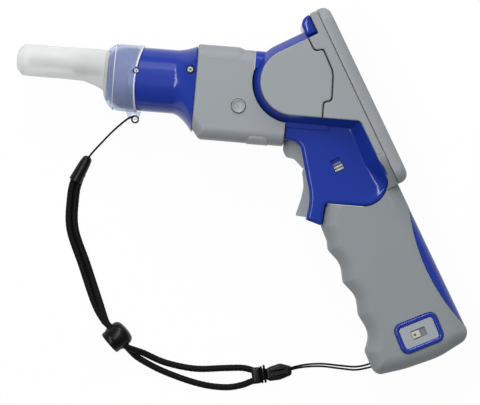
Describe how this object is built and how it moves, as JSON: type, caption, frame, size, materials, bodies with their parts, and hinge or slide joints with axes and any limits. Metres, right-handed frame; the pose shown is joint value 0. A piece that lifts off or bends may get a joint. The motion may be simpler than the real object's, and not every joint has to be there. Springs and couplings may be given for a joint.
{
  "type": "hand-held air instrument",
  "caption": "Pistol-grip hand instrument with a capped nozzle, tilted screen head, trigger, thumb selector, finger-grooved grip, power slider and braided wrist strap.",
  "frame": {"origin": "middle of the outline without the strap, on the table under the right side", "axes": "+X from the nozzle to the rear along the barrel, +Y towards the top of the head, +Z from the right side to the left side"},
  "size_m": [0.2676, 0.2232, 0.062],
  "materials": {
    "blue_plastic": "satin moulded",
    "gray_plastic": "fine matte moulded",
    "soft_gray": "soft-touch overmould",
    "clear_plastic": "frosted translucent",
    "dark_plastic": "matte moulded",
    "black_plastic": "satin moulded",
    "black_rubber": "moulded ring",
    "steel": "plated",
    "board": "solder mask",
    "window": "polished",
    "cell_sleeve": "shrink sleeve",
    "cord": "braided"
  },
  "bodies": {
    "handle": {"neck": "blue_plastic", "neck_screws": "steel", "nozzle_holder": "blue_plastic", "nozzle": "gray_plastic", "cap_seal": "black_rubber", "filter": "clear_plastic", "hoses": "clear_plastic", "bulkhead": "dark_plastic", "pump_head": "dark_plastic", "pump_motor": "steel", "front_left": "gray_plastic", "front_right": "gray_plastic", "control_board": "board", "port_socket": "steel", "body_left": "blue_plastic", "body_right": "blue_plastic", "cheek_left": "gray_plastic", "cheek_right": "gray_plastic", "rear_housing": "gray_plastic", "top_bumper": "blue_plastic", "screen_lid": "gray_plastic", "screen_window": "window", "display_module": "dark_plastic", "lid_screws": "steel", "main_board": "board", "spine": "dark_plastic", "trigger_pin": "steel", "trigger_spring": "steel", "trigger_switch": "black_plastic", "selector_switch": "black_plastic", "grip_left": "soft_gray", "grip_right": "soft_gray", "back_strip": "blue_plastic", "battery_tray": "black_plastic", "battery_cells": "cell_sleeve", "battery_contacts": "steel", "switch_ring": "blue_plastic", "switch_plate": "gray_plastic", "power_switch": "black_plastic", "case_screws": "steel", "anchor_pin": "steel", "tether_nose": "cord", "ferrule": "black_plastic", "strand_upper": "cord", "strand_lower": "cord", "lock_barrel": "black_plastic", "lock_spring": "steel", "strap_eye": "black_plastic", "buckle": "black_plastic", "tether_grip": "cord"},
    "cap": {"nose_cap": "clear_plastic"},
    "trigger": {"trigger": "gray_plastic"},
    "button": {"side_button": "gray_plastic"},
    "selector": {"selector_slider": "clear_plastic"},
    "power": {"power_slider": "clear_plastic"},
    "lock_button": {"lock_plunger": "black_plastic"},
    "port_plug": {"port_cover": "soft_gray"}
  },
  "joints": [
    {"name": "cap_pull", "type": "slide", "parent": "handle", "child": "cap", "axis": [-1, 0, 0], "range_m": [0, 0.07], "deforming": ["tether_nose"]},
    {"name": "trigger_pull", "type": "hinge", "parent": "handle", "child": "trigger", "pos_m": [0.03776, 0.00824, 0.031], "axis": [0, 0, 1], "range_deg": [0, 8], "stiffness_Nm_per_rad": 0.3, "springref_deg": -5.73, "deforming": ["trigger_spring"]},
    {"name": "button_press", "type": "slide", "parent": "handle", "child": "button", "axis": [0, 0, -1], "range_m": [0, 0.001], "stiffness_N_per_m": 800, "springref_m": -0.0005},
    {"name": "selector_slide", "type": "slide", "parent": "handle", "child": "selector", "axis": [-0.5, 0.866, 0], "range_m": [0, 0.0024]},
    {"name": "power_slide", "type": "slide", "parent": "handle", "child": "power", "axis": [0.8957, 0.4446, 0], "range_m": [0, 0.0036]},
    {"name": "lock_press", "type": "slide", "parent": "handle", "child": "lock_button", "axis": [0.7071, 0.7071, 0], "range_m": [0, 0.0015], "stiffness_N_per_m": 1500, "springref_m": -0.001, "deforming": ["lock_spring"]},
    {"name": "port_pull", "type": "slide", "parent": "handle", "child": "port_plug", "axis": [0, -1, 0], "range_m": [0, 0.009]}
  ]
}
